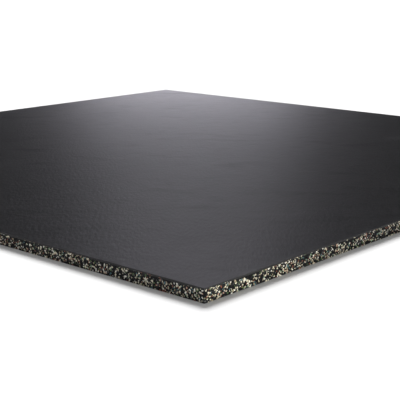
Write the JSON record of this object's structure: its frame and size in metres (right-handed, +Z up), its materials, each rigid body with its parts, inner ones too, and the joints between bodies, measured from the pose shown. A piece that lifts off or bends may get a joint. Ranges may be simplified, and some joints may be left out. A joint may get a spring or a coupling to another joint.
{
  "type": "floor protection mat",
  "caption": "Square rubber floor protection mat: a thin smooth charcoal wear layer bonded on a thick base of multicoloured rubber granulate.",
  "frame": {"origin": "centre of the underside, on the floor", "axes": "+Z up through the thickness, X and Y along the two pairs of cut sides"},
  "size_m": [1, 1, 0.014],
  "materials": {
    "granulate": "cut face of bonded recycled rubber granules, black with cream, beige, green, red-brown and grey specks, matte",
    "wear_rubber": "smooth vulcanised charcoal rubber, fine grained, satin at a low angle"
  },
  "bodies": {
    "root": {"granulate_base": "granulate", "wear_layer": "wear_rubber"}
  },
  "joints": []
}
